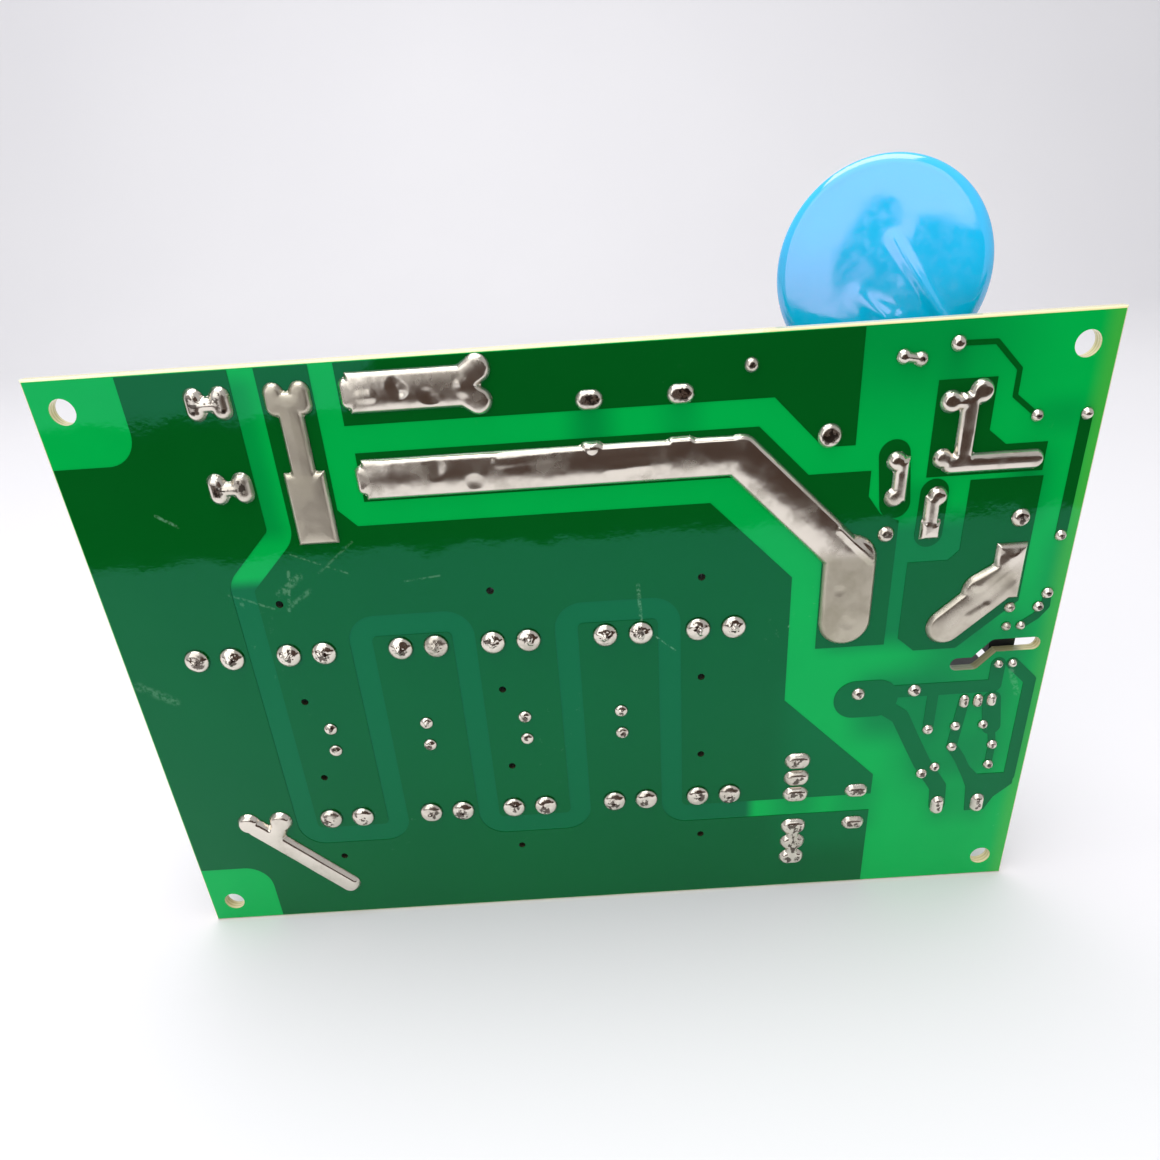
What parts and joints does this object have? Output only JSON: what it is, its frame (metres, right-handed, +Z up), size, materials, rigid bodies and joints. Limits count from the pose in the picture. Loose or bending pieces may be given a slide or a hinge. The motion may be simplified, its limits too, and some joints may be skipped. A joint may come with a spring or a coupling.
{
  "type": "welder power supply board",
  "caption": "Bare printed board seen from its solder side, with a bank of snap-in capacitors, a relay, a blue disc varistor, pin headers and thick soldered bus bars.",
  "frame": {"origin": "centre of the four mounting holes, on the solder face", "axes": "+X to the right as seen from the solder side, +Y from the solder face through the board to the components, +Z up, towards the varistor's edge"},
  "size_m": [0.165, 0.0485, 0.1317],
  "materials": {
    "laminate": "green solder mask on glass-epoxy",
    "copper_under_mask": "green solder mask over copper",
    "solder": "bright tin solder",
    "can_sleeve": "shrunk vinyl sleeve",
    "tinned_metal": "tin plate",
    "resistor_body": "lacquer",
    "diode_body": "moulded epoxy",
    "film_case": "box case, potted",
    "dipped_ceramic": "dipped",
    "varistor_coating": "glossy dipped epoxy",
    "relay_plastic": "moulded case",
    "moulded_epoxy": "moulded",
    "nylon": "moulded nylon"
  },
  "bodies": {
    "root": {"circuit_board": "laminate", "solder_side_copper": "copper_under_mask", "component_side_copper": "copper_under_mask", "main_bus_solder": "solder", "upper_bar_solder": "solder", "link_bar_solder": "solder", "bank_link_solder": "solder", "tee_bar_solder": "solder", "strip_solder": "solder", "output_bar_solder": "solder", "tab_joints": "solder", "capacitor_joints": "solder", "bleeder_joints": "solder", "header_joints": "solder", "control_joints": "solder", "capacitor_1": "can_sleeve", "capacitor_2": "can_sleeve", "capacitor_3": "can_sleeve", "capacitor_4": "can_sleeve", "capacitor_5": "can_sleeve", "capacitor_6": "can_sleeve", "tab_terminal_1": "tinned_metal", "tab_terminal_2": "tinned_metal", "tab_terminal_3": "tinned_metal", "tab_terminal_4": "tinned_metal", "tab_terminal_5": "tinned_metal", "tab_terminal_6": "tinned_metal", "relay_pins": "tinned_metal", "transistor_frame": "tinned_metal", "output_header_posts": "tinned_metal", "auxiliary_header_posts": "tinned_metal", "sense_header_posts": "tinned_metal", "varistor_leads": "tinned_metal", "bleeder_resistor_1": "resistor_body", "bleeder_resistor_2": "resistor_body", "bleeder_resistor_3": "resistor_body", "bleeder_resistor_4": "resistor_body", "top_resistor": "resistor_body", "series_resistor": "resistor_body", "trim_resistor": "resistor_body", "edge_resistor": "resistor_body", "bias_resistor_1": "resistor_body", "bias_resistor_2": "resistor_body", "bias_resistor_3": "resistor_body", "clamp_diode": "diode_body", "flyback_diode": "diode_body", "film_capacitor_1": "film_case", "film_capacitor_2": "film_case", "spark_capacitor": "film_case", "snubber_capacitor": "film_case", "filter_capacitor": "dipped_ceramic", "bypass_capacitor": "dipped_ceramic", "varistor_disc": "varistor_coating", "relay_case": "relay_plastic", "optocoupler": "moulded_epoxy", "transistor_case": "moulded_epoxy", "output_header_wafer": "nylon", "auxiliary_header_wafer": "nylon", "sense_header_wafer": "nylon"}
  },
  "joints": []
}
